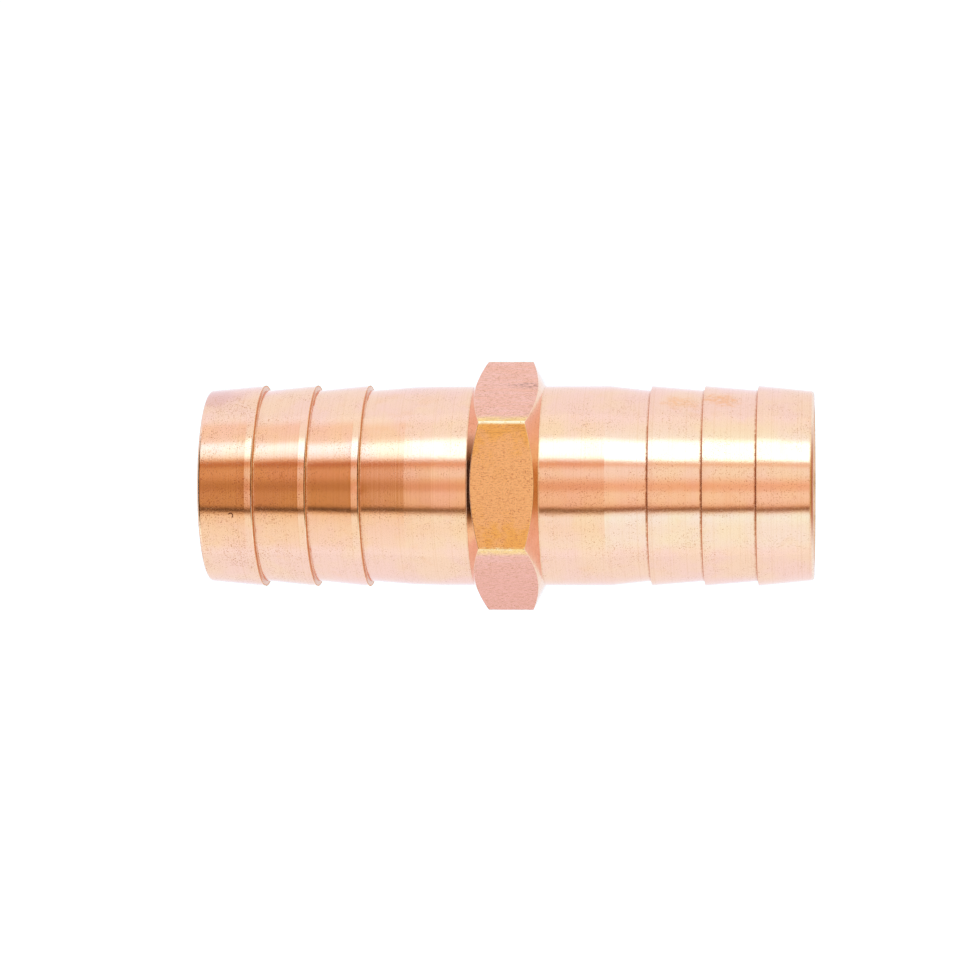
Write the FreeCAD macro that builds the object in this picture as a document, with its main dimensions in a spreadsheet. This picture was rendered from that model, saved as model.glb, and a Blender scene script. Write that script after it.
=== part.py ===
import FreeCAD, Part
import math
import os

import Sketcher

# Equal-ended barbed hose coupling, turned from one length of hexagonal brass bar.
# Frame: millimetres, X along the waterway, origin on its axis at the middle of the
# hexagonal collar, two of the collar's flats facing +Z and -Z, its corners facing +Y and -Y.
# The left tail (-X) has barbs with a narrow cylindrical land at each crest. The right
# tail (+X) has barbs with a sharp crest.

SIZES = [
    # alias, value in mm or degrees, what it is
    ("overall_len", 61.8, "end face to end face"),
    ("hex_af", 22.0, "collar, across flats"),
    ("collar_half", 3.6, "collar, half width where its cone meets the neck"),
    ("collar_tan", 0.52, "collar cone, axial run per unit of radius (27.5 degrees)"),
    ("collar_root", 0.1, "fillet radius between collar cone and neck"),
    ("neck_dia", 20.4, "plain neck beside the collar, both tails"),
    ("barb_first", 14.38, "centre to the innermost barb step, both tails"),
    ("barb_pitch", 5.4, "barb step to barb step, both tails"),
    ("step_lean", 0.1, "axial lean of a barb step"),
    ("left_crest_dia", 20.5, "left barbs, crest"),
    ("left_root_dia", 19.55, "left barbs, foot of each step"),
    ("left_land", 0.75, "left barbs, width of the land at the crest"),
    ("left_end_dia", 19.6, "left tail at its end, before the edge break"),
    ("left_break", 0.35, "left tail, end edge break"),
    ("left_neck_full", 7.2, "left neck is a true cylinder from the collar to here"),
    ("left_neck_blend", 9.9, "left neck, end of the shallow blend"),
    ("left_blend_dia", 20.25, "left neck, diameter at the end of the blend"),
    ("right_crest_dia", 20.4, "right barbs, crest"),
    ("right_root_dia", 19.45, "right barbs, foot of each step"),
    ("right_end_dia", 19.3, "right tail at its end, before the chamfer"),
    ("right_break", 0.22, "right tail, end chamfer"),
    ("right_neck_full", 10.2, "right neck is a true cylinder from the collar to here"),
    ("bore_dia", 15.5, "waterway"),
    ("mouth_chamfer", 0.5, "chamfer at each mouth of the waterway"),
    ("hidden_half", 4.0, "half length of the hexagonal blank, its ends lie inside the necks"),
    ("under_dia", 18.0, "collar cone is cut down to here, below the neck surface"),
    ("over_dia", 30.0, "clear of the hexagon's corners"),
    ("past_end", 2.0, "how far a cut runs past what it cuts"),
]
VALUE = {alias: value for alias, value, _ in SIZES}


def size(*terms):
    """A length as a sum of (factor, alias): its value, and the expression that ties it to the sheet."""
    value = sum(factor * VALUE[alias] for factor, alias in terms)
    text = " + ".join(f"({factor:g}) * sizes.{alias}" for factor, alias in terms)
    return value, text


def plane(body, role):
    """One of the body's own origin planes."""
    return next(f for f in body.Origin.OriginFeatures if f.Role == role)


def new_sketch(body, name, role):
    sketch = body.newObject("Sketcher::SketchObject", name)
    sketch.AttachmentSupport = [(plane(body, role), "")]
    sketch.MapMode = "FlatFace"
    return sketch


def loop(sketch, tag, points):
    """A closed run of lines through points, each ((x, x expression), (r, r expression)), r None on the axis."""
    first = sketch.GeometryCount
    n = len(points)
    where = [FreeCAD.Vector(p[0][0], p[1][0] if p[1] else 0, 0) for p in points]
    for i in range(n):
        sketch.addGeometry(Part.LineSegment(where[i], where[(i + 1) % n]), False)
    for i in range(n):
        sketch.addConstraint(Sketcher.Constraint("Coincident", first + i, 2, first + (i + 1) % n, 1))
    for i, (x, r) in enumerate(points):
        geo = first + i
        if x[0] < 0:
            k = sketch.addConstraint(Sketcher.Constraint("DistanceX", geo, 1, -1, 1, -x[0]))
            text = f"-({x[1]})"
        else:
            k = sketch.addConstraint(Sketcher.Constraint("DistanceX", -1, 1, geo, 1, x[0]))
            text = x[1]
        sketch.renameConstraint(k, f"{tag}_x{i}")
        sketch.setExpression(f"Constraints.{tag}_x{i}", text)
        if r is None:
            sketch.addConstraint(Sketcher.Constraint("PointOnObject", geo, 1, -1))
            continue
        k = sketch.addConstraint(Sketcher.Constraint("DistanceY", -1, 1, geo, 1, r[0]))
        sketch.renameConstraint(k, f"{tag}_r{i}")
        sketch.setExpression(f"Constraints.{tag}_r{i}", r[1])


def turned(body, kind, name, sketch):
    """A Revolution or Groove of the sketch, all the way round the X axis."""
    feature = body.newObject(kind, name)
    feature.Profile = sketch
    feature.ReferenceAxis = (sketch, ["H_Axis"])
    feature.Angle = 360.0
    sketch.Visibility = False
    return feature


def circles(shape, x, radius):
    """Names of the circular edges of that radius around the X axis at that x."""
    found = []
    for i, edge in enumerate(shape.Edges):
        curve = edge.Curve
        if isinstance(curve, Part.Circle) and abs(curve.Radius - radius) < 0.02:
            if abs(curve.Center.x - x) < 0.02 and abs(abs(curve.Axis.x) - 1) < 1e-6:
                found.append(f"Edge{i + 1}")
    return found


doc = FreeCAD.newDocument("coupling")

sheet = doc.addObject("Spreadsheet::Sheet", "sizes")
for row, (alias, value, note) in enumerate(SIZES, start=1):
    sheet.set(f"A{row}", note)
    sheet.set(f"B{row}", f"{value:g}")
    sheet.setAlias(f"B{row}", alias)
doc.recompute()

body = doc.addObject("PartDesign::Body", "coupling_body")
body.Label = "coupling_body"
volumes = []


def done(name):
    """Recomputes and notes the body's volume after this feature."""
    doc.recompute()
    volumes.append((name, body.Shape.Volume))


# Collar: a short length of hexagonal bar, flats facing +Z and -Z.
hexagon = new_sketch(body, "collar_hexagon", "YZ_Plane")
corner = VALUE["hex_af"] / 2 / math.cos(math.radians(30))
turn = [FreeCAD.Vector(corner * math.cos(math.radians(60 * i)), corner * math.sin(math.radians(60 * i)), 0) for i in range(6)]
for i in range(6):
    hexagon.addGeometry(Part.LineSegment(turn[i], turn[(i + 1) % 6]), False)
rim = hexagon.addGeometry(Part.Circle(FreeCAD.Vector(0, 0, 0), FreeCAD.Vector(0, 0, 1), corner), True)
hexagon.addConstraint(Sketcher.Constraint("Coincident", rim, 3, -1, 1))
for i in range(6):
    hexagon.addConstraint(Sketcher.Constraint("Coincident", i, 2, (i + 1) % 6, 1))
    hexagon.addConstraint(Sketcher.Constraint("PointOnObject", i, 1, rim))
    if i:
        hexagon.addConstraint(Sketcher.Constraint("Equal", 0, i))
hexagon.addConstraint(Sketcher.Constraint("Horizontal", 1))
across = hexagon.addConstraint(Sketcher.Constraint("DistanceY", 4, 1, 1, 1, VALUE["hex_af"]))
hexagon.renameConstraint(across, "across_flats")
hexagon.setExpression("Constraints.across_flats", "sizes.hex_af")

blank = body.newObject("PartDesign::Pad", "collar_blank")
blank.Profile = hexagon
blank.Midplane = True
blank.Length = 2 * VALUE["hidden_half"]
blank.setExpression("Length", "2 * sizes.hidden_half")
hexagon.Visibility = False
done("collar_blank")

# Each side of the collar is a cone that runs from the hexagon's corners down to the neck.
cone = new_sketch(body, "collar_cones_profile", "XZ_Plane")


def cone_x(alias):
    """Where the collar's cone is at that diameter. The run per radius times a diameter isn't a sum, so it is written out."""
    value = VALUE["collar_half"] + VALUE["collar_tan"] * (VALUE["neck_dia"] - VALUE[alias]) / 2
    return value, f"sizes.collar_half + sizes.collar_tan * (sizes.neck_dia - sizes.{alias}) / 2"


def negative(length):
    return -length[0], f"-({length[1]})"


low, high = size((0.5, "under_dia")), size((0.5, "over_dia"))
beyond = size((1, "hidden_half"), (1, "past_end"))
inner, outer = cone_x("under_dia"), cone_x("over_dia")
loop(cone, "right", [(inner, low), (beyond, low), (beyond, high), (outer, high)])
loop(cone, "left", [(negative(inner), low), (negative(outer), high), (negative(beyond), high), (negative(beyond), low)])
turned(body, "PartDesign::Groove", "collar_cones", cone)
done("collar_cones")

# Right tail: plain neck, a taper down to the foot of the first barb, then three sharp barbs.
end = size((0.5, "overall_len"))
right = new_sketch(body, "right_tail_profile", "XZ_Plane")
neck_r, crest_r, root_r = size((0.5, "neck_dia")), size((0.5, "right_crest_dia")), size((0.5, "right_root_dia"))
points = [(size((0, "overall_len")), None), (size((0, "overall_len")), neck_r), (size((1, "right_neck_full")), neck_r)]
for i in range(3):
    step = [(1, "barb_first"), (i, "barb_pitch")]
    points.append((size(*step), root_r))
    points.append((size(*step, (1, "step_lean")), crest_r))
points.append((size((0.5, "overall_len"), (-1, "right_break")), size((0.5, "right_end_dia"))))
points.append((end, size((0.5, "right_end_dia"), (-1, "right_break"))))
points.append((end, None))
loop(right, "tail", points)
turned(body, "PartDesign::Revolution", "right_tail", right)
done("right_tail")

# Left tail: plain neck, a shallow blend and taper, then three barbs with a land at each crest.
left = new_sketch(body, "left_tail_profile", "XZ_Plane")
crest_r, root_r = size((0.5, "left_crest_dia")), size((0.5, "left_root_dia"))
points = [
    (size((0, "overall_len")), None),
    (size((0, "overall_len")), neck_r),
    (size((-1, "left_neck_full")), neck_r),
    (size((-1, "left_neck_blend")), size((0.5, "left_blend_dia"))),
]
for i in range(3):
    step = [(-1, "barb_first"), (-i, "barb_pitch")]
    points.append((size(*step), root_r))
    points.append((size(*step, (-1, "step_lean")), crest_r))
    points.append((size(*step, (-1, "step_lean"), (-1, "left_land")), crest_r))
points.append((size((-0.5, "overall_len"), (1, "left_break")), size((0.5, "left_end_dia"))))
points.append((size((-0.5, "overall_len")), size((0.5, "left_end_dia"), (-1, "left_break"))))
points.append((size((-0.5, "overall_len")), None))
loop(left, "tail", points)
turned(body, "PartDesign::Revolution", "left_tail", left)
done("left_tail")

# Waterway: drilled through from end to end, with a chamfer at each mouth.
drill = new_sketch(body, "waterway_profile", "XZ_Plane")
bore_r = size((0.5, "bore_dia"))
flare_r = size((0.5, "bore_dia"), (1, "mouth_chamfer"), (1, "past_end"))
out = size((0.5, "overall_len"), (1, "past_end"))
mouth = size((0.5, "overall_len"), (-1, "mouth_chamfer"))
loop(
    drill,
    "bore",
    [
        (negative(out), None),
        (out, None),
        (out, flare_r),
        (mouth, bore_r),
        (negative(mouth), bore_r),
        (negative(out), flare_r),
    ],
)
turned(body, "PartDesign::Groove", "waterway", drill)
done("waterway")

# Small fillet where the collar's cone meets the neck on each side.
tip = body.Tip
edges = circles(tip.Shape, VALUE["collar_half"], VALUE["neck_dia"] / 2)
edges += circles(tip.Shape, -VALUE["collar_half"], VALUE["neck_dia"] / 2)
if len(edges) < 2:
    raise SystemExit("the collar's root edges weren't found")
root = body.newObject("PartDesign::Fillet", "collar_root_fillets")
root.Base = (tip, edges)
root.Radius = VALUE["collar_root"]
root.setExpression("Radius", "sizes.collar_root")
done("collar_root_fillets")

# Nothing is written unless every feature came out whole and did its work.
for obj in doc.Objects:
    if {"Invalid", "Error"} & set(obj.State):
        raise SystemExit(f"{obj.Name} failed: {obj.State}")
for (before, v0), (name, v1) in zip(volumes, volumes[1:]):
    grows = name in ("right_tail", "left_tail", "collar_root_fillets")
    if (v1 - v0) * (1 if grows else -1) <= 0:
        raise SystemExit(f"{name} didn't change the body as it should: {v0} to {v1}")
shape = body.Shape
if shape.isNull() or not shape.isValid() or len(shape.Solids) != 1:
    raise SystemExit("coupling_body isn't one valid solid")
box = shape.optimalBoundingBox(False, False)
print("volumes", [(name, round(v, 1)) for name, v in volumes])
print("box", [round(v, 3) for v in (box.XMin, box.XMax, box.YMin, box.YMax, box.ZMin, box.ZMax)])

os.makedirs("parts", exist_ok=True)
for part in [body]:
    part.Shape.exportStep(f"parts/{part.Label}.step")
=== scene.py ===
import math

import bpy
import numpy as np
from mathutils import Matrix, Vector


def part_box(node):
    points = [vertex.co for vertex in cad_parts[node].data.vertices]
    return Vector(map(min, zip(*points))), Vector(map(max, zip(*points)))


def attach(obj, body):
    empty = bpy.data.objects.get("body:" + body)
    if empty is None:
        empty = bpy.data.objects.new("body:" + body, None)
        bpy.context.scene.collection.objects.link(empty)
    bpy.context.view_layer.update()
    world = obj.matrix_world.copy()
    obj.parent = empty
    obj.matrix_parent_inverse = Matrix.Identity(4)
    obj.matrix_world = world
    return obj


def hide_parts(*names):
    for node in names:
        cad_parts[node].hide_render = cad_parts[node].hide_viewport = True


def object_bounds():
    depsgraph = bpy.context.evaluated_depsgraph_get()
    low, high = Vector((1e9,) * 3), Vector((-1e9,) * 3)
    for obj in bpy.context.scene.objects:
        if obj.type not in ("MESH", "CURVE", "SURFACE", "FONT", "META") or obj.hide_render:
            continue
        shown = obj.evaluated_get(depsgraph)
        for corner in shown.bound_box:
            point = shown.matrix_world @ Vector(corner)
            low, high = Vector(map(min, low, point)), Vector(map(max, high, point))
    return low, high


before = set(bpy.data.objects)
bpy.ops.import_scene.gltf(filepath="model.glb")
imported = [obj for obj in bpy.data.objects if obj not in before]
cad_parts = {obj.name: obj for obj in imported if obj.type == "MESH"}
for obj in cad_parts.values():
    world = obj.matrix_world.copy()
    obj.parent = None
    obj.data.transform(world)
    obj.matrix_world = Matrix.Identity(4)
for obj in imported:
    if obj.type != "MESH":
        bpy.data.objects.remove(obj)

cad_lo, cad_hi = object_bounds()
node_lo, node_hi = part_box("coupling_body")

MM = 0.001
NODE = "coupling_body"

# ---------------------------------------------------------------- sizes, mm
END = node_hi.x / MM              # end faces at +-END
FLAT = node_hi.z / MM             # across flats / 2
NECK = 10.2                       # plain neck radius
COLLAR = 3.6                      # collar half width at the neck
TAN = 0.52                        # collar cone, run along X per unit of radius
CONE = math.degrees(math.atan(TAN))
BORE = 7.75
MOUTH = 0.5
STEPS = (14.38, 19.78, 25.18)     # feet of the barb steps
PITCH = 5.4
LAND = 0.75                       # width of the land at a left barb's crest
LEAN = 0.1
CORNER = 0.22                     # how far from a corner of the hexagon it is rubbed down
EDGE = 0.07                       # rounding where a flat meets the cone
ROOT = 0.10                       # fillet between cone and neck

ZONES = ("turned", "land", "step", "cone", "flat", "endface", "bore", "rim")
Z = {name: i for i, name in enumerate(ZONES)}


# ---------------------------------------------------------------- columns
def make_columns():
    """Angles from +Y towards +Z. The corners of the hexagon are at multiples of 60 degrees and get extra columns."""
    near = [0.0, 0.12, 0.30, 0.50, 0.70, 0.88, 1.05, 1.6]
    middle = np.linspace(1.6, 58.4, 32)[1:-1]
    sextant = near + list(middle) + [60 - a for a in reversed(near[1:])]
    return np.radians(np.concatenate([[60 * k + a for a in sextant] for k in range(6)]))


THETA = make_columns()
M = len(THETA)


def hexagon_radius():
    """Polar radius of the hexagon with rubbed corners, for each column."""
    d = np.abs((THETA + math.radians(30)) % math.radians(60) - math.radians(30))
    away = FLAT * (math.tan(math.radians(30)) - np.tan(math.radians(30) - d))
    depth = np.where(np.abs(np.sin(THETA)) < 0.5, 0.008, 0.025)  # the two corners at +-Y are nearly sharp
    rubbed = depth * np.clip(1 - away / CORNER, 0, 1) ** 1.5
    return (FLAT - rubbed) / np.cos(math.radians(30) - d)


HEX = hexagon_radius()
rng = np.random.default_rng(11)


def ring_noise(lowest, highest, power, seed):
    """Smooth periodic noise of each column, about -1 to 1."""
    g = np.random.default_rng(seed)
    k = np.arange(lowest, highest)
    amp = k ** (-power) * g.normal(size=len(k))
    phase = g.uniform(0, 2 * np.pi, len(k))
    out = (amp[:, None] * np.cos(k[:, None] * THETA[None] + phase[:, None])).sum(0)
    return out / max(np.abs(out).max(), 1e-9)


# ---------------------------------------------------------------- rows
rows = []  # (x per column, r per column, zone of the strip that follows, oxide and painted shade, burr)


def add(x, r, zone, shade_and_grime=0.0, burr=0.0):
    rows.append((np.broadcast_to(np.asarray(x, float), M).copy(), np.broadcast_to(np.asarray(r, float), M).copy(), Z[zone], shade_and_grime, burr))


def turned(points, spacing=0.62):
    """Rows for a turned stretch. points: (x, r, fillet, zone of the line that leaves it, oxide and painted shade). The
    first and last points are exact.
    """
    n = len(points)
    p = np.array([[q[0], q[1]] for q in points], float)
    for i, q in enumerate(points):
        fillet, zone, shade_and_grime = q[2], q[3], q[4] if len(q) > 4 else 0.0
        ends = []
        if fillet and 0 < i < n - 1:
            a, b = p[i - 1] - p[i], p[i + 1] - p[i]
            la, lb = np.linalg.norm(a), np.linalg.norm(b)
            a, b = a / la, b / lb
            angle = math.acos(np.clip(a @ b, -1, 1))
            t = min(fillet / math.tan(angle / 2), 0.46 * la, 0.46 * lb)
            radius = t * math.tan(angle / 2)
            centre = p[i] + (a + b) / np.linalg.norm(a + b) * math.hypot(t, radius)
            start, stop = p[i] + a * t - centre, p[i] + b * t - centre
            a0 = math.atan2(start[1], start[0])
            sweep = (math.atan2(stop[1], stop[0]) - a0 + math.pi) % (2 * math.pi) - math.pi
            k = max(2, min(6, int(abs(sweep) / 0.26) + 1))
            skirt = min(0.05, 0.25 * (la - t), 0.25 * (lb - t))
            if shade_and_grime and la - t > 0.6:
                add(*(p[i] + a * (t + skirt + 0.10)), points[i - 1][3])
            ends = [p[i] + a * (t + skirt)]
            for j in range(k + 1):
                w = a0 + sweep * j / k
                ends.append(centre + radius * np.array([math.cos(w), math.sin(w)]))
            ends.append(p[i] + b * (t + skirt))
        else:
            ends = [p[i]]
        before = points[i - 1][3] if i else zone
        for j, e in enumerate(ends):
            add(e[0], e[1], before if j < len(ends) / 2 - 0.5 else zone, shade_and_grime)
        if i < n - 1:
            length = np.linalg.norm(p[i + 1] - ends[-1])
            k = int(length / spacing)
            for j in range(1, k):
                e = ends[-1] + (p[i + 1] - ends[-1]) * j / k
                add(e[0], e[1], zone)


def left_barb(foot, k):
    """The crest of a left barb: a narrow land, then a burr rolled up at its edge, then the step down."""
    crest = foot - LEAN
    high = 0.75 + 0.3 * ring_noise(2, 40, 0.7, 100 + k)
    x_wave = 0.02 * ring_noise(1, 30, 0.8, 200 + k)
    add(crest - LAND - 0.03, 10.236, "turned")
    add(crest - LAND, 10.240, "land")
    add(crest - LAND + 0.04, 10.241, "land")
    add(crest - 0.45, 10.246, "land")
    lip = ((-0.14, 0.0), (-0.09, 0.0), (-0.06, 0.010), (-0.03, 0.030), (0.0, 0.056), (0.030, 0.064), (0.055, 0.045), (0.062, 0.01), (0.048, -0.03))
    for dx, dr in lip:
        zone = "land" if dx < -0.01 else "step"
        add(crest + dx + x_wave * (dx > -0.18), 10.25 + dr * (high if dr > 0 else 1), zone, 0.0, 1.0 if dx > -0.04 else 0.0)
    # From the lip down into the foot, the rows carry oxide and painted shade.
    for dx, r in ((0.02, 10.17), (0.035, 10.0), (0.075, 9.85)):
        add(crest + dx, r, "step", 0.4)
    add(foot + 0.005, 9.80, "step", 0.9)
    add(foot + 0.03, 9.782, "turned", 1.0)
    add(foot + 0.07, 9.779, "turned", 0.6)
    add(foot + 0.13, 9.784, "turned", 0.1)


# Left end face edge, then barb by barb to the collar.
turned([(-END, 8.25 + 0.75, 0, "endface"), (-END, 9.80, 0.34, "turned"), (-(STEPS[2] + LEAN + LAND + 0.05), 10.234, 0, "turned")])
rows.pop()
for k, foot in enumerate((-STEPS[2], -STEPS[1], -STEPS[0])):
    left_barb(foot, k)
    start_x, start_r = foot + 0.13, 9.784
    if k < 2:
        stop_x, stop_r = foot + PITCH - LEAN - LAND - 0.03, 10.236
        for j in range(1, 8):
            add(start_x + (stop_x - start_x) * j / 8, start_r + (stop_r - start_r) * j / 8, "turned")
    else:
        turned([(start_x + 0.3, start_r + 0.03, 0, "turned"), (-9.9, 10.125, 0.25, "turned"), (-7.2, NECK, 1.5, "turned"), (-COLLAR - 0.20, NECK, 0, "turned")])

# Collar: root fillet, cone, edge, flat and back, mirrored about its middle.
half = []
a = math.radians(CONE)
SWEEP = 90 - CONE
t_root = ROOT * math.tan(math.radians(SWEEP) / 2)
centre = np.array([COLLAR + t_root, NECK + ROOT])
half.append((centre[0] + 0.06, NECK, "turned", 0.2))
for j in range(7):
    w = math.radians(270 - SWEEP * j / 6)
    half.append((centre[0] + ROOT * math.cos(w), centre[1] + ROOT * math.sin(w), "cone", 0.40 if j < 5 else 0.12))
fillet_x, fillet_r = half[-1][0], half[-1][1]
edge_x = COLLAR + TAN * (NECK - HEX)
t_edge = EDGE * math.tan(math.radians(SWEEP) / 2)
down = np.array([math.sin(a), -math.cos(a)])
stop_x, stop_r = edge_x + down[0] * (t_edge + 0.05), HEX + down[1] * (t_edge + 0.05)
for j in range(1, 6):
    half.append((fillet_x + (stop_x - fillet_x) * j / 5, fillet_r + (stop_r - fillet_r) * j / 5, "cone", 0.0))
cx, cr = edge_x - t_edge, HEX - EDGE
for j in range(5):
    w = math.radians(CONE + SWEEP * j / 4)
    half.append((cx + EDGE * math.cos(w), cr + EDGE * math.sin(w), "cone" if j < 2 else "flat", 0.0))
flat_x = edge_x - t_edge - 0.05
half.append((flat_x, HEX, "flat", 0.0))
for j in range(1, 10):
    half.append((flat_x * (1 - j / 10), HEX, "flat", 0.0))
for x, r, zone, shade_and_grime in half:
    add(-np.asarray(x), r, zone, shade_and_grime)
add(0.0, HEX, "flat")
back = list(reversed(half))
for i, (x, r, zone, shade_and_grime) in enumerate(back):
    following = back[i + 1][2] if i + 1 < len(back) else "turned"
    add(x, r, following, shade_and_grime)

# Right neck, taper and sharp barbs, out to the end face.
R_ROOT, R_CREST = 9.725, 10.2
points = [(COLLAR + 0.20, NECK, 0, "turned"), (10.2, NECK, 0.6, "turned")]
# The right barbs' roots carry oxide and painted shade.
for s in STEPS:
    points += [(s, R_ROOT, 0.045, "step", 1.0), (s + LEAN, R_CREST, 0.05, "turned", 0.15)]
points += [(END - 0.22, 9.65, 0.36, "rim", 0.2), (END, 9.43, 0.05, "endface", 0.1), (END, 8.25, 0.04, "bore"), (END - MOUTH, BORE, 0.05, "bore"), (-END + MOUTH, BORE, 0.05, "bore"), (-END, 8.25, 0.04, "endface"), (-END, 8.25 + 0.70, 0, "endface")]
turned(points[:-5], 0.62)
rows.pop()
turned(points[-6:], 1.25)

N = len(rows)
X = np.array([q[0] for q in rows])
R = np.array([q[1] for q in rows])
zone_of = np.array([q[2] for q in rows])
shade_and_grime_of = np.array([q[3] for q in rows])
burr_of = np.array([q[4] for q in rows])
print("rows", N, "columns", M, "quads", N * M)

# ---------------------------------------------------------------- wear
TH = np.broadcast_to(THETA, X.shape)


def field(count, low, high, seed):
    """Smooth noise over the turned surface, about -1 to 1. Wavelengths from low to high, mm."""
    g = np.random.default_rng(seed)
    out = np.zeros_like(X)
    for _ in range(count):
        wave = math.exp(g.uniform(math.log(low), math.log(high)))
        ang = g.uniform(0, 2 * np.pi)
        kx = 2 * np.pi / wave * math.cos(ang)
        kt = round(10 * 2 * np.pi / wave * math.sin(ang))
        out += np.cos(kx * X + kt * TH + g.uniform(0, 2 * np.pi)) * wave / high
    return out / np.abs(out).max()


outer = (zone_of == Z["turned"]) | (zone_of == Z["land"])
on_tail = outer[:, None] & (np.abs(X) > COLLAR + 0.6) & (np.abs(X) < END - 0.4)
R = R + np.where(on_tail, 0.004 * field(60, 1.6, 7.0, 5), 0)

# Small dents: a few knocks on the tails and the collar's corners, nicks in the burrs.
dents = []
for _ in range(46):
    side = rng.choice([-1, 1])
    dents.append((side * rng.uniform(4.6, END - 0.6), rng.uniform(0, 2 * np.pi), rng.uniform(0.10, 0.28), rng.uniform(0.006, 0.022)))
for foot in STEPS:
    for _ in range(9):
        dents.append((-(foot + LEAN), rng.uniform(0, 2 * np.pi), rng.uniform(0.10, 0.22), rng.uniform(0.02, 0.05)))
for k in range(6):
    for _ in range(3):
        dents.append((rng.uniform(-2.3, 2.3), math.radians(60 * k), rng.uniform(0.12, 0.25), rng.uniform(0.01, 0.03)))
for dx, dt, size, depth in dents:
    arc = (TH - dt + np.pi) % (2 * np.pi) - np.pi
    d2 = (X - dx) ** 2 + (arc * np.minimum(R, 12.7)) ** 2
    R = R - np.where(R > 9.2, depth * np.exp(-d2 / (2 * size * size)), 0)

# ---------------------------------------------------------------- mesh
Y, ZZ = R * np.cos(TH), R * np.sin(TH)
co = np.stack([X, Y, ZZ], axis=-1).reshape(-1, 3) * MM
i, j = np.meshgrid(np.arange(N), np.arange(M), indexing="ij")
i2, j2 = (i + 1) % N, (j + 1) % M
quads = np.stack([i * M + j, i * M + j2, i2 * M + j2, i2 * M + j], axis=-1).reshape(-1, 4)

mesh = bpy.data.meshes.new("coupling_skin")
mesh.vertices.add(N * M)
mesh.vertices.foreach_set("co", co.astype(np.float32).ravel())
mesh.loops.add(len(quads) * 4)
mesh.loops.foreach_set("vertex_index", quads.astype(np.int32).ravel())
mesh.polygons.add(len(quads))
mesh.polygons.foreach_set("loop_start", np.arange(len(quads), dtype=np.int32) * 4)
mesh.polygons.foreach_set("material_index", np.repeat(zone_of, M).astype(np.int32))
mesh.update(calc_edges=True)
mesh.validate()
mesh.polygons.foreach_set("use_smooth", np.ones(len(quads), bool))
# Wear with a painted highlight along the hexagon's corners, weaker on the two corners at +-Y; the burr rows carry wear
# only.
edge = np.interp(np.abs((np.degrees(THETA) + 30) % 60 - 30), [0.0, 0.70, 0.95], [1.0, 0.9, 0.0]) * np.where(np.abs(np.sin(THETA)) < 0.5, 0.3, 1.0)
wear_and_highlight = mesh.attributes.new("wear_and_highlight", "FLOAT", "POINT")
wear_and_highlight.data.foreach_set("value", np.where((zone_of == Z["flat"])[:, None], edge[None], burr_of[:, None]).astype(np.float32).ravel())
shade_and_soil = mesh.attributes.new("shade_and_grime", "FLOAT", "POINT")
shade_and_soil.data.foreach_set("value", np.repeat(shade_and_grime_of, M).astype(np.float32))
# The volume's sign says whether the faces look outwards.
v = co[quads]
signed = np.einsum("ij,ij->i", v[:, 0], np.cross(v[:, 1], v[:, 2])).sum() + np.einsum("ij,ij->i", v[:, 0], np.cross(v[:, 2], v[:, 3])).sum()
if signed < 0:
    mesh.flip_normals()
skin = bpy.data.objects.new("coupling_skin", mesh)
bpy.context.scene.collection.objects.link(skin)


# ---------------------------------------------------------------- materials
class Nodes:
    """Short calls for building a material's nodes."""

    def __init__(self, tree):
        self.t = tree

    def put(self, socket, value):
        if isinstance(value, bpy.types.NodeSocket):
            self.t.links.new(value, socket)
        elif value is not None:
            if hasattr(socket.default_value, "__len__") and len(socket.default_value) == 4 and len(value) == 3:
                value = (*value, 1.0)
            socket.default_value = value

    def new(self, kind, **props):
        n = self.t.nodes.new(kind)
        for k, val in props.items():
            setattr(n, k, val)
        return n

    def math(self, op, a, b=None, c=None, clamp=False):
        n = self.new("ShaderNodeMath", operation=op, use_clamp=clamp)
        for s, val in zip(n.inputs, (a, b, c)):
            self.put(s, val)
        return n.outputs[0]

    def vec(self, op, a, b=None, scale=None):
        n = self.new("ShaderNodeVectorMath", operation=op)
        self.put(n.inputs[0], a)
        if b is not None:
            self.put(n.inputs[1], b)
        if scale is not None:
            self.put(n.inputs["Scale"], scale)
        return n.outputs[0]

    def mix(self, fac, a, b, blend="MIX"):
        n = self.new("ShaderNodeMix", data_type="RGBA", blend_type=blend)
        self.put(n.inputs[0], fac)
        self.put(n.inputs[6], a)
        self.put(n.inputs[7], b)
        return n.outputs[2]

    def remap(self, x, a, b, c=0.0, d=1.0, smooth=True):
        n = self.new("ShaderNodeMapRange", interpolation_type="SMOOTHSTEP" if smooth else "LINEAR")
        self.put(n.inputs[0], x)
        for s, val in zip(n.inputs[1:5], (a, b, c, d)):
            self.put(s, val)
        return n.outputs[0]

    def noise(self, at, scale, detail=2.0, rough=0.5, distortion=0.0, dims="3D"):
        n = self.new("ShaderNodeTexNoise", noise_dimensions=dims)
        if dims == "1D":
            self.put(n.inputs["W"], at)
        else:
            self.put(n.inputs["Vector"], at)
        n.inputs["Scale"].default_value = scale
        n.inputs["Detail"].default_value = detail
        n.inputs["Roughness"].default_value = rough
        n.inputs["Distortion"].default_value = distortion
        return n.outputs["Fac"]

    def cells(self, at, scale, randomness=1.0):
        n = self.new("ShaderNodeTexVoronoi")
        self.put(n.inputs["Vector"], at)
        n.inputs["Scale"].default_value = scale
        n.inputs["Randomness"].default_value = randomness
        return n.outputs["Distance"], n.outputs["Color"]

    def bump(self, height, strength, distance, normal=None, invert=False):
        n = self.new("ShaderNodeBump", invert=invert)
        n.inputs["Strength"].default_value = strength
        n.inputs["Distance"].default_value = distance
        self.put(n.inputs["Height"], height)
        if normal is not None:
            self.put(n.inputs["Normal"], normal)
        return n.outputs[0]


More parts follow.
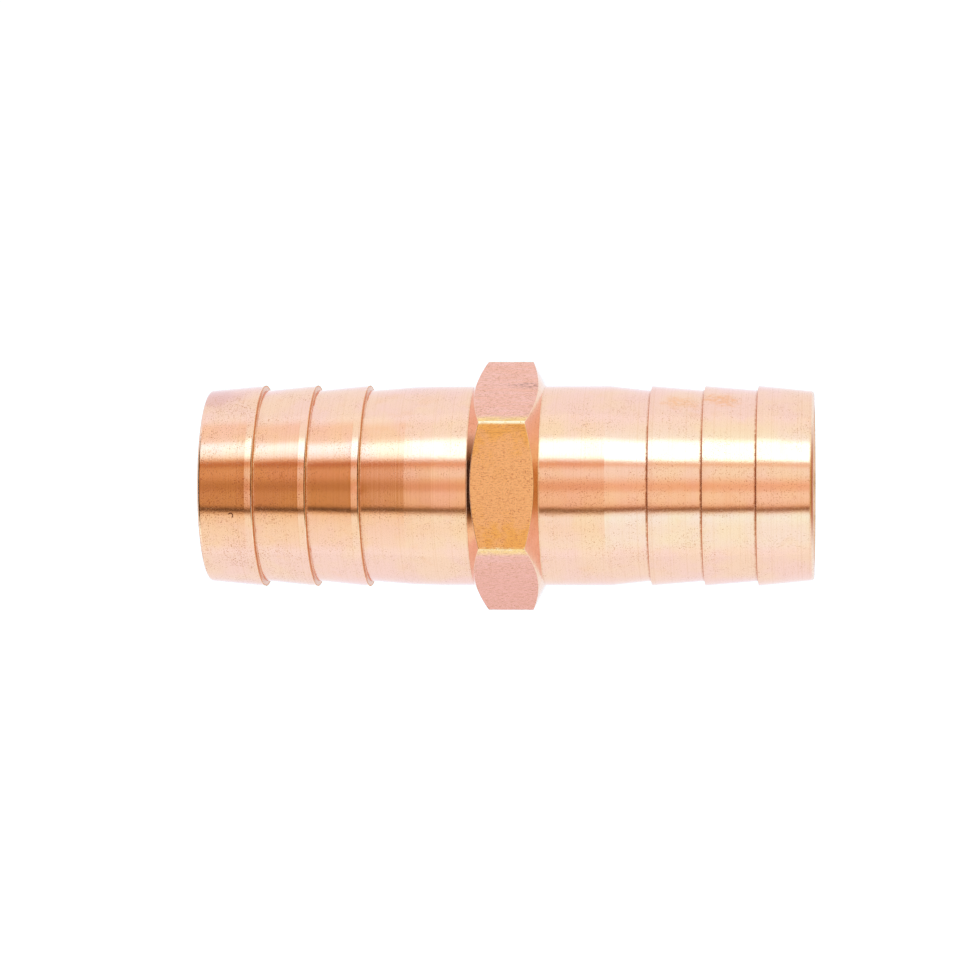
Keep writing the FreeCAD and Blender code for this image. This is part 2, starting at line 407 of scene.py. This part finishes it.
def metal(name, look):
    m = bpy.data.materials.new(name)
    m.use_nodes = True
    n = Nodes(m.node_tree)
    m.node_tree.nodes.clear()
    out = n.new("ShaderNodeOutputMaterial")
    shader = n.new("ShaderNodeBsdfPrincipled")
    n.t.links.new(shader.outputs[0], out.inputs[0])
    shader.inputs["Metallic"].default_value = 1.0
    shader.inputs["Specular Tint"].default_value = (0.98, 0.90, 0.93, 1)
    at = n.vec("SCALE", n.new("ShaderNodeTexCoord").outputs["Object"], scale=1000.0)  # mm
    split = n.new("ShaderNodeSeparateXYZ")
    n.t.links.new(at, split.inputs[0])
    x, y, z = split.outputs
    around = n.math("SQRT", n.math("ADD", n.math("MULTIPLY", y, y), n.math("MULTIPLY", z, z)))
    look(n, shader, at, x, y, z, around)
    return m


def squeeze(n, at, fx, fy, fz):
    return n.vec("MULTIPLY", at, (fx, fy, fz))


def blot(n, at, centre, reach, ragged=0.5, scale=0.9):
    """A soft mask round a point, mm, with a ragged edge. reach is its size along each axis."""
    d = n.new("ShaderNodeVectorMath", operation="LENGTH")
    n.put(d.inputs[0], n.vec("MULTIPLY", n.vec("SUBTRACT", at, centre), tuple(1 / r for r in reach)))
    edge = n.math("MULTIPLY", n.math("SUBTRACT", n.noise(at, scale, 3.0, 0.6), 0.5), 2 * ragged)
    return n.remap(n.math("ADD", d.outputs["Value"], edge), 1.0, 0.35)


def specks(n, at, x, colour, rough, amount=1.0):
    """Pits and specks of dark oxide, in two sizes, densest on the outermost left barb. Returns colour, roughness and the pits."""
    crowd = n.remap(x, -19.0, -27.5, 1.0, 1.4)
    patch = n.remap(n.noise(n.vec("ADD", at, (3.0, 8.0, 1.0)), 0.30, 3.0, 0.6), 0.34, 0.66, 0.45, 1.10)
    crowd = n.math("MULTIPLY", crowd, patch)
    d1, c1 = n.cells(at, 4.6)
    s1 = n.new("ShaderNodeSeparateColor")
    n.t.links.new(c1, s1.inputs[0])
    r1 = n.math("MULTIPLY", n.math("MULTIPLY", n.math("POWER", s1.outputs[0], 3.0), 0.34), crowd)
    m1 = n.math("MULTIPLY", n.remap(n.math("SUBTRACT", d1, r1), 0.05, -0.06), 0.66 * amount, clamp=True)
    d2, c2 = n.cells(n.vec("ADD", at, (7.3, 2.1, 5.5)), 8.4)
    s2 = n.new("ShaderNodeSeparateColor")
    n.t.links.new(c2, s2.inputs[0])
    r2 = n.math("MULTIPLY", n.math("MULTIPLY", n.math("POWER", s2.outputs[1], 1.6), 0.46), crowd)
    m2 = n.math("MULTIPLY", n.remap(n.math("SUBTRACT", d2, r2), 0.10, -0.06), 0.50 * amount, clamp=True)
    both = n.math("MAXIMUM", m1, m2)
    tint = n.mix(s1.outputs[1], (0.52, 0.15, 0.075), (0.60, 0.24, 0.10))
    colour = n.mix(both, colour, tint)
    rough = n.math("ADD", rough, n.math("MULTIPLY", both, 0.04), clamp=True)
    return colour, rough, both


def turned_look(land=False):
    def look(n, shader, at, x, y, z, around):
        # Colour: one alloy, with soft pinker and yellower clouds and the odd stain.
        cloud = n.noise(at, 0.20, 3.0, 0.6)
        cloud2 = n.noise(n.vec("ADD", at, (31.0, 9.0, 4.0)), 0.42, 4.0, 0.6)
        colour = n.mix(n.remap(cloud, 0.36, 0.64), (0.905, 0.490, 0.382), (0.91, 0.508, 0.344))
        colour = n.mix(n.math("MULTIPLY", n.remap(cloud2, 0.56, 0.72), 0.32), colour, (0.89, 0.43, 0.25))
        mottle = n.remap(n.noise(at, 2.3, 4.0, 0.7), 0.36, 0.62, 0.15, 1.0)
        # Stains: a pinkish grey bloom at the left end, and orange ones on the right barbs.
        colour = n.mix(n.math("MULTIPLY", blot(n, at, (-29.8, 8.9, 4.2), (3.6, 2.6, 3.0), 0.5, 0.5), 0.7), colour, (0.76, 0.37, 0.32))
        colour = n.mix(n.math("MULTIPLY", blot(n, at, (17.8, 8.6, 5.4), (2.3, 1.5, 1.8), 0.9, 0.8), n.math("MULTIPLY", mottle, 0.75)), colour, (0.89, 0.39, 0.19))
        colour = n.mix(n.math("MULTIPLY", blot(n, at, (21.6, 8.8, 5.1), (2.4, 1.5, 1.8), 0.9, 0.8), n.math("MULTIPLY", mottle, 0.90)), colour, (0.88, 0.36, 0.17))
        # Turning lines: one fine pitch with uneven depth.
        fine = n.noise(x, 5.4, 1.0, 0.6, dims="1D")
        wide = n.noise(x, 1.3, 2.0, 0.6, dims="1D")
        wander = n.noise(squeeze(n, at, 3.2, 0.35, 0.35), 1.0, 2.0, 0.5)
        lines = n.math("ADD", n.math("MULTIPLY", fine, 0.75), n.math("ADD", n.math("MULTIPLY", wide, 0.30), n.math("MULTIPLY", wander, 0.30)))
        colour = n.mix(n.remap(lines, 0.62, 0.95, 0.0, 0.20), colour, (0.74, 0.33, 0.17))
        rough = n.math("ADD", 0.115 if land else 0.125, n.math("MULTIPLY", cloud2, 0.05))
        # Oil and oxide in the feet of the steps, with painted shade in the same hollows, stronger on top than towards
        # +-Y.
        shade_and_soil = n.new("ShaderNodeAttribute", attribute_name="shade_and_grime").outputs["Fac"]
        patchy = n.remap(n.noise(at, 3.4, 3.0, 0.65), 0.34, 0.60, 0.25, 1.0)
        patchy = n.math("MULTIPLY", patchy, n.remap(n.math("ABSOLUTE", y), 3.5, 9.0, 1.0, 0.6))
        shade_and_dirt = n.math("MULTIPLY", shade_and_soil, patchy, clamp=True)
        colour = n.mix(n.math("MULTIPLY", shade_and_dirt, 0.80), colour, (0.58, 0.20, 0.08))
        rough = n.math("ADD", rough, n.math("MULTIPLY", shade_and_dirt, 0.20))
        colour, rough, pits = specks(n, at, x, colour, rough)
        # One curl of a scratch near the left end.
        d = n.new("ShaderNodeVectorMath", operation="LENGTH")
        n.put(d.inputs[0], n.vec("SUBTRACT", at, (-27.45, -2.95, 9.55)))
        curl = n.remap(n.math("ABSOLUTE", n.math("SUBTRACT", d.outputs["Value"], 0.26)), 0.07, 0.03)
        curl = n.math("MULTIPLY", curl, n.remap(n.math("ADD", x, y), -30.62, -30.42))
        colour = n.mix(curl, colour, (0.16, 0.05, 0.03))
        n.put(shader.inputs["Base Color"], colour)
        n.put(shader.inputs["Roughness"], rough)
        shader.inputs["Anisotropic"].default_value = 0.7
        shader.inputs["Anisotropic Rotation"].default_value = 0.25
        tangent = n.new("ShaderNodeTangent", direction_type="RADIAL", axis="X")
        n.put(shader.inputs["Tangent"], tangent.outputs[0])
        normal = n.bump(lines, 0.42 if not land else 0.3, 0.0000085)
        skin_noise = n.noise(at, 3.2, 3.0, 0.6)
        normal = n.bump(skin_noise, 0.30, 0.000009, normal)
        normal = n.bump(pits, 0.25, 0.000008, normal, invert=True)
        n.put(shader.inputs["Normal"], normal)
    return look


def flat_look(n, shader, at, x, y, z, around):
    # The hexagon keeps the bar's drawn skin: fine dark streaks along X, a grain, and golden tarnish on two of the flats.
    streak = n.noise(squeeze(n, at, 2.4, 9.0, 9.0), 1.0, 3.0, 0.7)
    streak2 = n.noise(squeeze(n, at, 0.25, 2.2, 2.2), 1.0, 3.0, 0.6)
    grain = n.noise(at, 7.5, 3.0, 0.75)
    cloud = n.noise(n.vec("ADD", at, (4.0, 3.0, 8.5)), 0.55, 3.0, 0.6)
    colour = n.mix(n.remap(streak2, 0.3, 0.7), (0.90, 0.425, 0.345), (0.885, 0.385, 0.275))
    # Tarnish: orange over the top flat, golden towards its two long ends.
    top = n.remap(z, 9.6, 10.8)
    colour = n.mix(n.math("MULTIPLY", top, 0.95), colour, (1.0, 0.60, 0.335))
    ends = n.math("ADD", n.remap(n.math("ABSOLUTE", y), 1.6, 6.0, 0.0, 0.62), n.remap(cloud, 0.32, 0.68, -0.15, 0.45))
    golden = n.math("MULTIPLY", n.math("MULTIPLY", top, n.remap(ends, 0.30, 0.85)), 0.75)
    colour = n.mix(golden, colour, (0.97, 0.54, 0.155))
    # Streaks and grain, and a few dark draw lines near the top edge.
    colour = n.mix(n.math("MULTIPLY", n.math("SUBTRACT", 1.0, top), n.remap(y, -5.0, -10.5, 0.0, 0.75)), colour, (0.82, 0.325, 0.25))
    colour = n.mix(n.math("MULTIPLY", n.remap(streak, 0.49, 0.68), n.remap(top, 0.0, 1.0, 0.95, 0.70, smooth=False)), colour, (0.60, 0.24, 0.13))
    colour = n.mix(n.math("MULTIPLY", n.remap(grain, 0.52, 0.70), n.remap(top, 0.0, 1.0, 0.55, 0.50, smooth=False)), colour, (0.62, 0.26, 0.12))
    near_edge = n.math("MULTIPLY", n.remap(y, 4.6, 5.6), n.remap(n.noise(squeeze(n, at, 0.35, 5.0, 5.0), 1.0, 2.0, 0.5), 0.50, 0.62))
    colour = n.mix(n.math("MULTIPLY", n.math("MULTIPLY", near_edge, top), 0.28), colour, (0.50, 0.25, 0.06))
    scuff = n.math("MULTIPLY", blot(n, at, (1.9, 10.15, 4.45), (2.8, 0.55, 1.0), 0.4, 1.5), n.remap(n.noise(squeeze(n, at, 2.0, 6.0, 6.0), 1.0, 3.0, 0.7), 0.47, 0.58))
    colour = n.mix(n.math("MULTIPLY", scuff, 0.75), colour, (0.36, 0.15, 0.11))
    rough = n.math("ADD", 0.19, n.math("MULTIPLY", grain, 0.08))
    colour, rough, pits = specks(n, at, x, colour, rough, 1.25)
    # The corners are rubbed, and a painted highlight runs along them, stronger towards +Y.
    edge = n.new("ShaderNodeAttribute", attribute_name="wear_and_highlight").outputs["Fac"]
    rubbed = n.math("ADD", n.noise(squeeze(n, at, 1.8, 3.0, 3.0), 1.0, 3.0, 0.65), n.remap(y, -4.0, 4.0, -0.12, 0.10))
    rubbed_highlight = n.math("MULTIPLY", edge, n.remap(rubbed, 0.42, 0.52, 0.15, 1.0), clamp=True)
    colour = n.mix(rubbed_highlight, colour, (0.98, 0.74, 0.52))
    rough = n.math("ADD", rough, n.math("MULTIPLY", rubbed_highlight, 0.06))
    n.put(shader.inputs["Base Color"], colour)
    n.put(shader.inputs["Roughness"], rough)
    normal = n.bump(streak2, 0.4, 0.00002)
    normal = n.bump(streak, 0.4, 0.000008, normal)
    normal = n.bump(grain, 0.4, 0.000008, normal)
    normal = n.bump(pits, 0.25, 0.000008, normal, invert=True)
    n.put(shader.inputs["Normal"], normal)


def faced_look(base, roughness, lines_mm, depth, shade_and_dirt_colour=(0.58, 0.20, 0.08), painted_lit_sides=None):
    """A surface cut square or conical, with tool marks in rings about the axis."""
    def look(n, shader, at, x, y, z, around):
        rings = n.noise(around, lines_mm, 2.0, 0.65, dims="1D")
        chatter = n.noise(at, 1.4, 3.0, 0.6)
        colour = n.mix(n.remap(chatter, 0.3, 0.7), base, tuple(c * k for c, k in zip(base, (0.97, 0.91, 0.84))))
        # Painted shade: away from the top, towards +-Y, the colour is painted lighter, so the top stays a dark painted
        # reflection.
        if painted_lit_sides:
            colour = n.mix(n.remap(n.math("ABSOLUTE", y), 2.4, 7.0), colour, painted_lit_sides)
        colour = n.mix(n.remap(rings, 0.58, 0.8, 0.0, 0.30), colour, (0.56, 0.25, 0.12))
        # Oxide and painted shade in the hollows.
        shade_and_soil = n.new("ShaderNodeAttribute", attribute_name="shade_and_grime").outputs["Fac"]
        shade_and_dirt = n.math("MULTIPLY", shade_and_soil, n.remap(n.noise(at, 3.4, 3.0, 0.65), 0.34, 0.60, 0.25, 1.0), clamp=True)
        colour = n.mix(n.math("MULTIPLY", shade_and_dirt, 0.8), colour, shade_and_dirt_colour)
        rough = n.math("ADD", roughness, n.math("MULTIPLY", chatter, 0.10))
        burr = n.new("ShaderNodeAttribute", attribute_name="wear_and_highlight").outputs["Fac"]
        colour = n.mix(n.math("MULTIPLY", burr, n.remap(chatter, 0.3, 0.6, 0.6, 1.0)), colour, (0.86, 0.42, 0.20))
        rough = n.math("ADD", rough, n.math("MULTIPLY", burr, 0.25))
        colour, rough, pits = specks(n, at, x, colour, rough, 0.9)
        n.put(shader.inputs["Base Color"], colour)
        n.put(shader.inputs["Roughness"], rough)
        normal = n.bump(rings, 0.6, depth)
        normal = n.bump(n.noise(at, 6.0, 3.0, 0.6), 0.4, 0.000008, normal)
        normal = n.bump(pits, 0.25, 0.000008, normal, invert=True)
        n.put(shader.inputs["Normal"], normal)
    return look


def bore_look(n, shader, at, x, y, z, around):
    # Drilled and left: darker, with spiral feed marks and lengthwise scoring.
    turn = n.math("ARCTAN2", z, y)
    spiral = n.math("SINE", n.math("ADD", n.math("MULTIPLY", x, 18.0), turn))
    score = n.noise(squeeze(n, at, 0.25, 3.0, 3.0), 1.0, 4.0, 0.65)
    cloud = n.noise(at, 0.5, 3.0, 0.6)
    colour = n.mix(n.remap(cloud, 0.3, 0.7), (0.82, 0.44, 0.28), (0.70, 0.35, 0.19))
    colour = n.mix(n.remap(score, 0.55, 0.75, 0.0, 0.5), colour, (0.38, 0.16, 0.08))
    rough = n.math("ADD", 0.24, n.math("MULTIPLY", score, 0.14))
    colour, rough, pits = specks(n, at, x, colour, rough)
    n.put(shader.inputs["Base Color"], colour)
    n.put(shader.inputs["Roughness"], rough)
    normal = n.bump(spiral, 0.35, 0.000006)
    normal = n.bump(score, 0.5, 0.00002, normal)
    normal = n.bump(pits, 0.25, 0.000008, normal, invert=True)
    n.put(shader.inputs["Normal"], normal)


LOOKS = {
    "turned": ("brass_turned_tail", turned_look()),
    "land": ("brass_turned_land", turned_look(land=True)),
    "step": ("brass_barb_step", faced_look((0.80, 0.37, 0.18), 0.22, 7.0, 0.00001)),
    "cone": ("brass_collar_cone", faced_look((0.93, 0.55, 0.37), 0.09, 4.5, 0.000004)),
    "flat": ("brass_drawn_flat", flat_look),
    "endface": ("brass_end_face", faced_look((0.88, 0.46, 0.31), 0.22, 5.5, 0.000012)),
    "bore": ("brass_bore", bore_look),
    # The end chamfer's colour is painted shade: very dark on top, painted lighter towards +-Y.
    "rim": ("brass_end_chamfer", faced_look((0.52, 0.14, 0.075), 0.22, 7.0, 0.00001, painted_lit_sides=(0.93, 0.60, 0.44))),
}
for zone in ZONES:
    name, look = LOOKS[zone]
    mesh.materials.append(metal(name, look))

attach(skin, "root")
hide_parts(NODE)

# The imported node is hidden, but it gets the same metal in case it is ever shown.
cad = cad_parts[NODE]
for s in cad.material_slots:
    s.material = mesh.materials[0]

# ---------------------------------------------------------------- floor
floor_z = cad_lo.z - 0.00002
bpy.ops.mesh.primitive_grid_add(x_subdivisions=8, y_subdivisions=8, size=8.0, location=(0, 0, floor_z))
floor = bpy.context.active_object
floor.name = "floor"
m = bpy.data.materials.new("studio_floor")
m.use_nodes = True
p = m.node_tree.nodes["Principled BSDF"]
p.inputs["Base Color"].default_value = (0.15, 0.15, 0.15, 1)
p.inputs["Roughness"].default_value = 0.9
p.inputs["Specular IOR Level"].default_value = 0.0
p.inputs["Emission Color"].default_value = (0.679, 0.878, 0.985, 1)
p.inputs["Emission Strength"].default_value = 1.355
floor.data.materials.append(m)

# ---------------------------------------------------------------- light
# A white tent: a long softbox over one side, a plain white wall over the other, and a dimmer gap overhead where the
# camera is. Directions are given by b, the angle from the zenith towards +Y, and by how far they lean along X.
world = bpy.data.worlds.new("studio")
bpy.context.scene.world = world
world.use_nodes = True
world.node_tree.nodes.clear()
n = Nodes(world.node_tree)
out = n.new("ShaderNodeOutputWorld")
background = n.new("ShaderNodeBackground")
n.t.links.new(background.outputs[0], out.inputs[0])
direction = n.vec("NORMALIZE", n.new("ShaderNodeTexCoord").outputs["Generated"])
split = n.new("ShaderNodeSeparateXYZ")
n.t.links.new(direction, split.inputs[0])
lean = split.outputs[0]
b = n.math("MULTIPLY", n.math("ARCTAN2", split.outputs[1], split.outputs[2]), 180 / math.pi)
FULL = 8.0


def ramp(stops):
    """Light by b. stops: (degrees, (r, g, b)) in rising order."""
    node = n.new("ShaderNodeValToRGB")
    node.color_ramp.interpolation = "LINEAR"
    n.put(node.inputs[0], n.remap(b, -180.0, 180.0, 0.0, 1.0, smooth=False))
    e = node.color_ramp.elements
    while len(e) > 1:
        e.remove(e[-1])
    for k, (deg, c) in enumerate(stops):
        c = (c, c, c) if isinstance(c, (int, float)) else c
        q = e[0] if k == 0 else e.new((deg + 180) / 360)
        q.position = (deg + 180) / 360
        q.color = (*[w / FULL for w in c], 1)
    return n.vec("SCALE", node.outputs[0], scale=FULL)


H = (1.08, 1.39, 1.54)  # the floor's own brightness, which the light meets at the horizon
middle = ramp([(-88, H), (-70, (1.07, 1.42, 1.40)), (-50, (1.06, 1.30, 1.22)), (-37, (1.07, 1.40, 1.36)), (-35, (1.07, 1.33, 1.25)), (-33.1, (1.0, 1.03, 0.82)),
               (-31.2, (0.60, 0.43, 0.24)), (-29.7, (0.22, 0.14, 0.05)), (-27.0, (0.25, 0.15, 0.06)), (-25.0, (0.80, 0.56, 0.33)), (-23.0, (0.99, 0.88, 0.66)), (-12, (1.04, 0.97, 0.77)),
               (-8, (1.03, 0.93, 0.73)), (-4, (0.91, 0.67, 0.45)), (1, (0.90, 0.64, 0.42)), (6, (1.0, 0.88, 0.63)), (12, (1.06, 1.16, 1.06)), (18, (1.06, 1.12, 0.98)), (22, (0.98, 0.78, 0.55)),
               (24, (0.88, 0.55, 0.32)), (26.5, (0.88, 0.57, 0.34)), (29, (1.0, 1.02, 0.88)), (32.5, (1.5, 2.1, 2.4)), (36, (1.6, 2.6, 2.9)), (51, (1.6, 2.6, 2.9)), (57.5, (1.08, 1.50, 1.55)),
               (63, (1.07, 1.43, 1.42)), (78, (1.07, 1.39, 1.42)), (88, H)])
brown = ramp([(-88, H), (-75, (1.06, 1.27, 1.22)), (-50, (1.05, 1.20, 1.08)), (-38, (1.05, 1.08, 0.86)), (-36, (1.05, 1.04, 0.78)), (-34.1, (1.0, 0.90, 0.58)), (-32.7, (0.80, 0.55, 0.26)),
              (-31.4, (0.40, 0.19, 0.05)), (-30.3, (0.06, 0.025, 0.006)), (-27.4, (0.07, 0.03, 0.008)), (-25.1, (0.50, 0.28, 0.09)), (-23.2, (0.64, 0.38, 0.13)), (-9, (0.64, 0.38, 0.125)),
              (-4, (0.54, 0.29, 0.09)), (2, (0.53, 0.29, 0.09)), (10, (0.74, 0.42, 0.155)), (18, (0.78, 0.47, 0.185)), (22, (0.66, 0.37, 0.13)), (24.5, (0.53, 0.21, 0.055)), (27, (0.55, 0.20, 0.05)),
              (31, (0.93, 0.66, 0.34)), (35.5, (1.15, 1.42, 1.45)), (44, (1.3, 1.92, 2.3)), (49, (1.3, 1.92, 2.3)), (55, (1.06, 1.13, 1.0)), (75, (1.05, 1.06, 0.95)), (84, (1.06, 1.18, 1.18)), (90, H)])
sharp = ramp([(-88, H), (-70, (1.07, 1.54, 1.64)), (-50, (1.07, 1.54, 1.60)), (-37, (1.08, 1.68, 1.85)), (-35, (1.08, 1.62, 1.75)), (-32.6, (1.06, 1.40, 1.38)), (-30.7, (0.80, 0.62, 0.42)),
              (-29.0, (0.20, 0.11, 0.04)), (-26.8, (0.24, 0.10, 0.03)), (-24.7, (0.80, 0.53, 0.31)), (-22.8, (0.99, 0.90, 0.68)), (-18, (1.05, 1.07, 0.90)), (-9, (1.06, 1.14, 0.98)),
              (-5, (1.0, 0.86, 0.66)), (1, (0.98, 0.77, 0.55)), (6, (1.04, 1.03, 0.86)), (12, (1.06, 1.26, 1.21)), (20, (1.06, 1.28, 1.24)), (22.5, (1.04, 1.12, 1.04)), (24, (0.95, 0.80, 0.60)),
              (26, (0.97, 0.84, 0.64)), (28, (1.05, 1.33, 1.30)), (31, (1.6, 2.8, 3.1)), (51, (1.6, 2.8, 3.1)), (56.5, (1.07, 1.58, 1.65)), (70, (1.07, 1.44, 1.47)), (84, (1.07, 1.40, 1.50)), (90, H)])
dark = ramp([(-88, H), (-80, (1.22, 2.1, 2.2)), (-62, (1.15, 1.75, 1.75)), (-50, (0.38, 0.37, 0.17)), (-43, (0.12, 0.09, 0.03)), (-37, (0.014, 0.009, 0.002)), (34, (0.014, 0.009, 0.002)),
             (44, (0.17, 0.14, 0.07)), (52, (0.30, 0.33, 0.26)), (64, (0.55, 0.68, 0.66)), (75, (0.90, 1.35, 1.60)), (83, (1.15, 1.95, 2.2)), (92, H)])
right_side = ramp([(-88, H), (-60, (1.0, 1.28, 1.25)), (-50, (0.93, 1.05, 0.88)), (-40, (0.66, 0.61, 0.27)), (-10, (0.63, 0.58, 0.24)), (30, (0.73, 0.67, 0.28)),
                   (38, (0.92, 0.98, 0.66)), (46, (1.05, 1.5, 1.15)), (80, (1.06, 1.45, 1.25)), (90, H)])
sky = n.mix(n.remap(lean, -0.13, -0.31, smooth=False), middle, brown)
sky = n.mix(n.remap(lean, -0.42, -0.60), sky, dark)
sky = n.mix(n.remap(lean, -0.03, 0.08), sky, sharp)
sky = n.mix(n.remap(lean, 0.30, 0.55), sky, right_side)
sky = n.mix(n.remap(lean, -0.87, -0.94), sky, H)
sky = n.mix(n.remap(split.outputs[2], 0.26, 0.03), sky, H)
n.put(background.inputs[0], sky)
background.inputs[1].default_value = 1.0

# ---------------------------------------------------------------- camera
tilt = math.radians(5.5)
away = 0.4165
right = np.array([math.cos(tilt), 0, -math.sin(tilt)])
eye = away * np.array([math.sin(tilt), 0, math.cos(tilt)]) - 0.002676 * right + np.array([0, 0.000077, 0])
data = bpy.data.cameras.new("camera")
data.sensor_width = 36
data.lens = 4075 / 970 * 36
data.clip_start, data.clip_end = 0.01, 100
camera = bpy.data.objects.new("camera", data)
camera.location = eye
camera.rotation_euler = (0, tilt, 0)
bpy.context.scene.collection.objects.link(camera)
bpy.context.scene.camera = camera

view = bpy.context.scene.view_settings
view.view_transform = "Standard"
view.look = "None"
view.exposure = 0.0
view.gamma = 1.0
